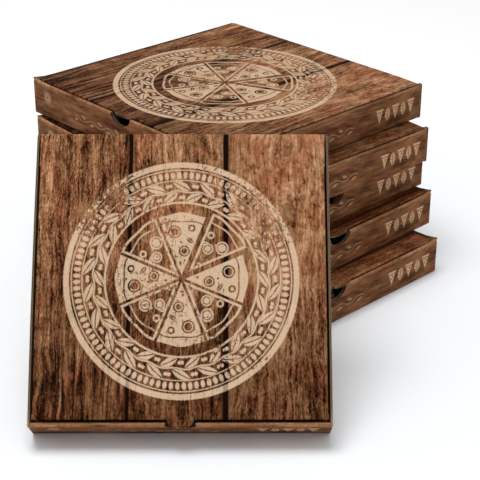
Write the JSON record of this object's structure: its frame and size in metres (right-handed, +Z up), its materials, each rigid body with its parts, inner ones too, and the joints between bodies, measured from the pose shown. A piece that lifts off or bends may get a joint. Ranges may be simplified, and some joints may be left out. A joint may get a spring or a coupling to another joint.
{
  "type": "stack of pizza boxes",
  "caption": "Stack of closed square pizza boxes turned corner forward, with one more box leaning on its front; folded board printed as wood planks with a round emblem on each lid.",
  "frame": {"origin": "middle of the footprint on the floor", "axes": "+Z up; the leaning box faces -Y; the stack stands behind it, towards +Y"},
  "size_m": [0.4192, 0.595, 0.2182],
  "materials": {
    "printed_board": "matte print on brown corrugated board"
  },
  "bodies": {
    "stack": {"top_box_tray": "printed_board", "second_box": "printed_board", "third_box": "printed_board", "fourth_box": "printed_board", "bottom_box": "printed_board", "leaning_box_tray": "printed_board"},
    "top_lid": {"top_box_lid": "printed_board"},
    "leaning_lid": {"leaning_box_lid": "printed_board"}
  },
  "joints": [
    {"name": "top_lid_hinge", "type": "hinge", "parent": "stack", "child": "top_lid", "pos_m": [0.09419, 0.19471, 0.1846], "axis": [-0.6893, 0.7245, 0], "range_deg": [0, 180]},
    {"name": "leaning_lid_hinge", "type": "hinge", "parent": "stack", "child": "leaning_lid", "pos_m": [-0.04555, -0.12813, 0.21779], "axis": [-1, -0.0086, 0], "range_deg": [0, 180]}
  ]
}
